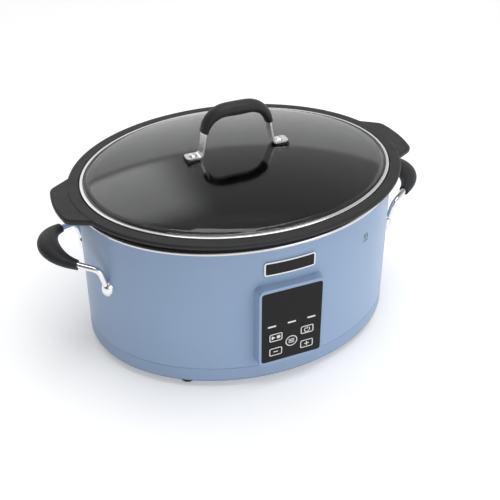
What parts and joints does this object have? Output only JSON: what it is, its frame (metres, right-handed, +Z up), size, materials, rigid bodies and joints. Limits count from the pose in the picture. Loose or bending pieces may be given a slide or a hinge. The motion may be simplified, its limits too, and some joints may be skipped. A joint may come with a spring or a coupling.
{
  "type": "slow cooker",
  "caption": "Oval slow cooker with a lift-out cast pot, a domed glass lid, bow side handles and a front control panel with push keys.",
  "frame": {"origin": "on the table, under the middle of the housing", "axes": "+X along the long axis towards the right-hand side handle, +Y away from the control panel towards the back, +Z up"},
  "size_m": [0.47, 0.3174, 0.2794],
  "materials": {
    "shell_paint": "satin",
    "base_plastic": "satin",
    "bezel_plastic": "satin",
    "polished_steel": "polished",
    "well_steel": "satin",
    "heater_metal": "satin",
    "insulation": "matte",
    "zinc_steel": "satin",
    "sensor_metal": "satin",
    "circuit_board": "satin",
    "component_black": "satin",
    "cable_grey": "satin",
    "gland_black": "satin",
    "foot_rubber": "matte",
    "grip_rubber": "matte",
    "chrome_rod": "polished",
    "panel_gloss": "gloss",
    "key_gloss": "gloss",
    "lamp_lens": "gloss",
    "badge_black": "gloss",
    "pot_coating": "satin",
    "lid_glass": "gloss",
    "gasket_silicone": "matte"
  },
  "bodies": {
    "housing": {"outer_shell": "shell_paint", "base_pan": "base_plastic", "top_ring": "polished_steel", "heating_well": "well_steel", "heater_band": "heater_metal", "insulation_wrap": "insulation", "tie_bolts": "zinc_steel", "tie_nuts": "zinc_steel", "temperature_sensor": "sensor_metal", "sensor_bracket": "zinc_steel", "thermal_fuse": "sensor_metal", "fuse_clip": "zinc_steel", "power_board": "circuit_board", "board_screws": "zinc_steel", "transformer": "component_black", "relay": "component_black", "terminal_block": "component_black", "ribbon_cable": "cable_grey", "heater_leads": "cable_grey", "cord_gland": "gland_black", "rubber_feet": "foot_rubber", "foot_screws": "zinc_steel", "right_handle_rod": "chrome_rod", "left_handle_rod": "chrome_rod", "right_handle_grip": "grip_rubber", "left_handle_grip": "grip_rubber", "handle_screws": "zinc_steel", "handle_washers": "zinc_steel", "panel_bezel": "bezel_plastic", "panel_window": "panel_gloss", "control_board": "circuit_board", "key_switches": "component_black", "display_module": "component_black", "indicator_lamps": "lamp_lens", "badge_frame": "polished_steel", "badge_plate": "badge_black"},
    "cooking_pot": {"cooking_pot": "pot_coating"},
    "lid": {"lid_glass": "lid_glass", "lid_band": "polished_steel", "lid_handle_strap": "chrome_rod", "lid_handle_grip": "grip_rubber", "lid_handle_gaskets": "gasket_silicone", "lid_handle_screws": "chrome_rod", "lid_handle_nuts": "zinc_steel"},
    "start_stop_button": {"start_stop_button": "key_gloss"},
    "mode_button": {"mode_button": "key_gloss"},
    "power_button": {"power_button": "key_gloss"},
    "minus_button": {"minus_button": "key_gloss"},
    "plus_button": {"plus_button": "key_gloss"}
  },
  "joints": [
    {"name": "pot_lift", "type": "slide", "parent": "housing", "child": "cooking_pot", "axis": [0, 0, 1], "range_m": [0, 0.16]},
    {"name": "lid_lift", "type": "slide", "parent": "cooking_pot", "child": "lid", "axis": [0, 0, 1], "range_m": [0, 0.1]},
    {"name": "start_stop_press", "type": "slide", "parent": "housing", "child": "start_stop_button", "axis": [0, 1, 0], "range_m": [0, 0.0006], "stiffness_N_per_m": 2500, "springref_m": -0.0002},
    {"name": "mode_press", "type": "slide", "parent": "housing", "child": "mode_button", "axis": [0, 1, 0], "range_m": [0, 0.0006], "stiffness_N_per_m": 2500, "springref_m": -0.0002},
    {"name": "power_press", "type": "slide", "parent": "housing", "child": "power_button", "axis": [0, 1, 0], "range_m": [0, 0.0006], "stiffness_N_per_m": 2500, "springref_m": -0.0002},
    {"name": "minus_press", "type": "slide", "parent": "housing", "child": "minus_button", "axis": [0, 1, 0], "range_m": [0, 0.0006], "stiffness_N_per_m": 2500, "springref_m": -0.0002},
    {"name": "plus_press", "type": "slide", "parent": "housing", "child": "plus_button", "axis": [0, 1, 0], "range_m": [0, 0.0006], "stiffness_N_per_m": 2500, "springref_m": -0.0002}
  ]
}
